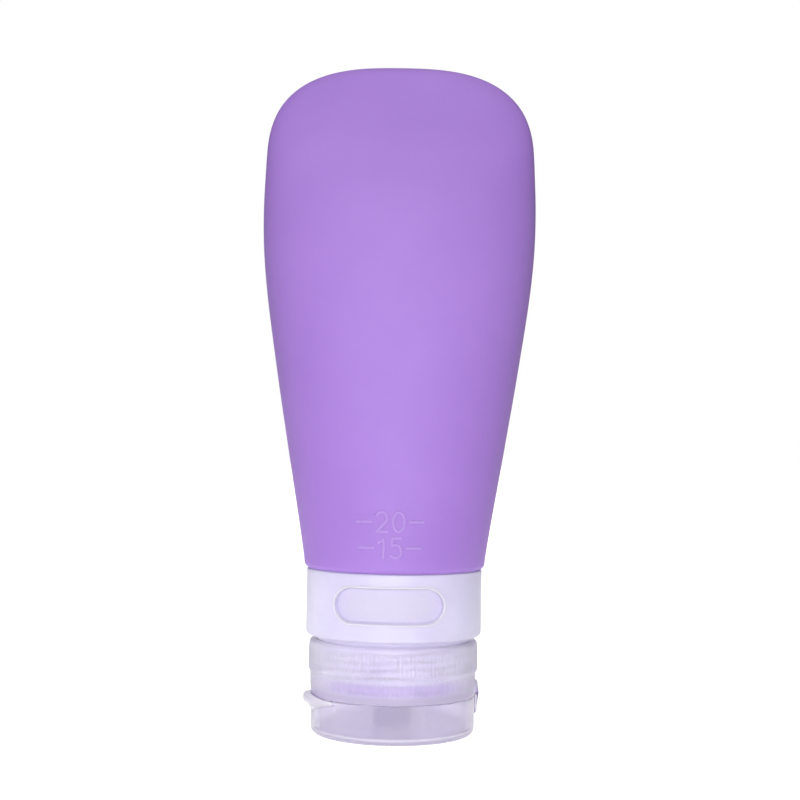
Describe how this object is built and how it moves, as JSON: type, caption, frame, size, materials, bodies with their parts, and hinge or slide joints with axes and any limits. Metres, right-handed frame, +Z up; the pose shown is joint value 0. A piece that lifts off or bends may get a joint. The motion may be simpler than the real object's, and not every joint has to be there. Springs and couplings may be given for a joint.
{
  "type": "travel bottle",
  "caption": "Squeezable silicone travel bottle standing on its flip cap, with a turning window collar, screw cap, slit valve and hinged lid.",
  "frame": {"origin": "centre of the closed lid's floor, on the bottle's axis, where the bottle stands", "axes": "+Z up the axis to the closed end of the body, X across the body's wide side, -Y towards the viewer of the picture"},
  "size_m": [0.0582, 0.038, 0.1414],
  "materials": {
    "silicone": "satin silicone",
    "neck_plastic": "milky",
    "label": "plain",
    "collar_plastic": "milky satin",
    "seal": "satin",
    "cap_plastic": "frosted, translucent",
    "valve": "satin",
    "retainer_plastic": "milky",
    "hinge_plastic": "frosted, translucent",
    "lid_plastic": "frosted, translucent"
  },
  "bodies": {
    "bottle": {"bottle_body": "silicone", "neck_ring": "neck_plastic", "label_band": "label"},
    "collar": {"window_ring": "collar_plastic"},
    "washer": {"sealing_washer": "seal"},
    "cap": {"screw_cap": "cap_plastic", "drip_valve": "valve", "valve_retainer": "retainer_plastic", "hinge_band": "hinge_plastic"},
    "lid": {"flip_lid": "lid_plastic"}
  },
  "joints": [
    {"name": "collar_turn", "type": "hinge", "parent": "bottle", "child": "collar", "pos_m": [0, 0, 0.0277], "axis": [0, 0, 1], "continuous": true},
    {"name": "cap_advance", "type": "slide", "parent": "bottle", "child": "washer", "axis": [0, 0, -1], "range_m": [0, 0.0038]},
    {"name": "cap_turn", "type": "hinge", "parent": "washer", "child": "cap", "pos_m": [0, 0, 0.014], "axis": [0, 0, -1], "range_deg": [0, 450]},
    {"name": "lid_flip", "type": "hinge", "parent": "cap", "child": "lid", "pos_m": [0.01729, 0.00463, 0.0082], "axis": [0.2588, -0.9659, 0], "range_deg": [0, 150], "deforming": ["hinge_band"]}
  ],
  "couplings": [
    {"joint": "cap_advance", "follows": "cap_turn", "m_per_rad": 0.00047746}
  ]
}
